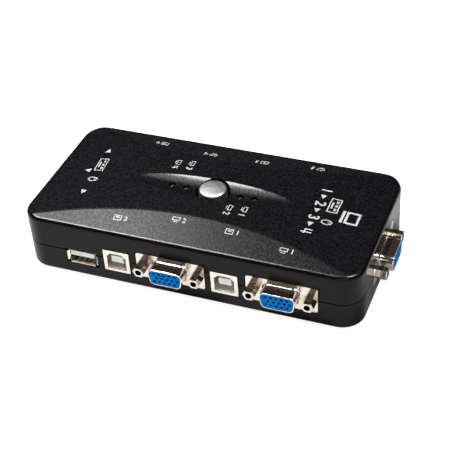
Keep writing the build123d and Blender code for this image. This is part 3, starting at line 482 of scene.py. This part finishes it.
def title_marks():
    """The button steps through the computers in turn: 1 to 2 to 3 to 4."""
    row = highest.x / MM - 35.2
    signs = highest.x / MM - 29.0
    placed = []
    for step in range(4):
        y = TITLE_PITCH * (1.5 - step)
        placed.append((numeral_curve("selector_marks", str(step + 1), TITLE_NUMERAL), row, y, -90))
        if step < 3:
            arrow = outline_curve("selector_marks", triangle(TITLE_ARROW, TITLE_ARROW))
            placed.append((arrow, row, y - TITLE_PITCH / 2, 180))
    placed.append((outline_curve("selector_marks", keyboard_sign(9.6, 4.8, 0.5)), signs, 5.4, -90))
    placed.append((outline_curve("selector_marks", mouse_sign(3.3, 4.8, 0.5)), signs, -6.2, -90))
    printed("selector_marks", placed)


def monitor_mark():
    """A screen on its foot, beside the monitor's socket."""
    outlines = frame_outline(0, 1.0, 8.0, 6.0, 1.0)
    outlines.append(rectangle(0, -3.3, 8.0, 1.2))
    printed("monitor_mark", [(outline_curve("monitor_mark", outlines), highest.x / MM - 20.6, -0.2, -90)])


# ---- Stage: floor, light and camera ----

def floor_material():
    material, tree, shader = new_material("pale_floor", Specular_IOR_Level=0.2)
    cloud = noise(tree, object_coordinates(tree), 60.0, detail=3.0)
    fill(tree, shader, Base_Color=blend_colours(tree, cloud, grey(0.31), grey(0.33)))
    fill(tree, shader, Roughness=spread(tree, cloud, 0.3, 0.7, 0.7, 0.8))
    shader.inputs["Emission Color"].default_value = grey(1.0)
    seen = add_node(tree, "ShaderNodeLightPath").outputs["Is Camera Ray"]
    fill(tree, shader, Emission_Strength=spread(tree, seen, 0.0, 1.0, 0.10, 0.92))
    return material


def make_floor():
    half = 6.0
    drop = -0.05 * MM  # just clear of the feet
    mesh = bpy.data.meshes.new("floor")
    corners = [(-half, -half, drop), (half, -half, drop), (half, half, drop), (-half, half, drop)]
    mesh.from_pydata(corners, [], [(0, 1, 2, 3)])
    mesh.materials.append(floor_material())
    floor = bpy.data.objects.new("floor", mesh)
    bpy.context.scene.collection.objects.link(floor)


def make_softbox(name, direction, distance, width, depth, watts):
    """A rectangular light that far away in that direction from the object, facing it."""
    light = bpy.data.lights.new(name, "AREA")
    light.shape = "RECTANGLE"
    light.size = width
    light.size_y = depth
    light.energy = watts
    lamp = bpy.data.objects.new(name, light)
    lamp.location = centre + Vector(direction).normalized() * distance
    lamp.rotation_euler = Vector(direction).to_track_quat("Z", "Y").to_euler()
    bpy.context.scene.collection.objects.link(lamp)
    return lamp


def make_world():
    """A dim room for reflections, seen by the camera as the same pale backdrop as the floor."""
    world = bpy.data.worlds.new("studio")
    world.use_nodes = True
    tree = world.node_tree
    background = tree.nodes["Background"]
    background.inputs["Color"].default_value = (0.040, 0.034, 0.030, 1)
    backdrop = add_node(tree, "ShaderNodeBackground", {"Color": grey(1.0), "Strength": 1.0})
    seen = add_node(tree, "ShaderNodeLightPath").outputs["Is Camera Ray"]
    mixed = add_node(tree, "ShaderNodeMixShader", {0: seen, 1: background.outputs[0], 2: backdrop.outputs[0]})
    tree.links.new(mixed.outputs[0], tree.nodes["World Output"].inputs["Surface"])
    bpy.context.scene.world = world


# Camera: angles in degrees, distance in metres, lens in mm.
CAMERA_AZIMUTH = 23.51
CAMERA_ELEVATION = 38.25
CAMERA_ROLL = -4.28
CAMERA_DISTANCE = 0.511
CAMERA_LENS = 93.7
AIM_FROM_CENTRE = Vector((2.85, -3.13, -0.8)) * MM


def make_camera():
    """A camera aimed near the object's centre and rolled a little."""
    azimuth, elevation, roll = map(math.radians, (CAMERA_AZIMUTH, CAMERA_ELEVATION, CAMERA_ROLL))
    back = Vector((math.sin(azimuth) * math.cos(elevation), -math.cos(azimuth) * math.cos(elevation),
                   math.sin(elevation)))
    level = Vector((math.cos(azimuth), math.sin(azimuth), 0))
    upright = back.cross(level)
    right = math.cos(roll) * level + math.sin(roll) * upright
    up = back.cross(right)
    turn = Matrix((right, up, back)).transposed().to_4x4()
    data = bpy.data.cameras.new("camera")
    data.lens = CAMERA_LENS
    data.sensor_width = 36.0
    data.clip_start = 0.01
    data.clip_end = 50.0
    camera = bpy.data.objects.new("camera", data)
    camera.matrix_world = Matrix.Translation(centre + AIM_FROM_CENTRE + back * CAMERA_DISTANCE) @ turn
    bpy.context.scene.collection.objects.link(camera)
    bpy.context.scene.camera = camera


def make_stage():
    make_floor()
    make_world()
    make_softbox("overhead_softbox", (-0.44, -0.03, 0.90), 1.1, 0.28, 0.44, 38)
    make_softbox("left_softbox", (-0.45, 0.33, 0.83), 1.1, 0.26, 0.13, 3.4)
    make_softbox("front_softbox", (0.35, -1.0, 0.35), 1.2, 0.9, 0.5, 3)
    make_softbox("right_softbox", (0.32, -0.11, 0.94), 1.1, 0.20, 0.20, 6)
    glint = make_softbox("corner_softbox", (0.52, 0.02, 0.85), 1.1, 0.26, 0.26, 22)
    glint.visible_diffuse = False
    make_camera()
    bpy.context.scene.view_settings.view_transform = "Standard"


dress_cad_nodes()
port_marks()
lamp_marks()
console_marks()
title_marks()
monitor_mark()
make_stage()
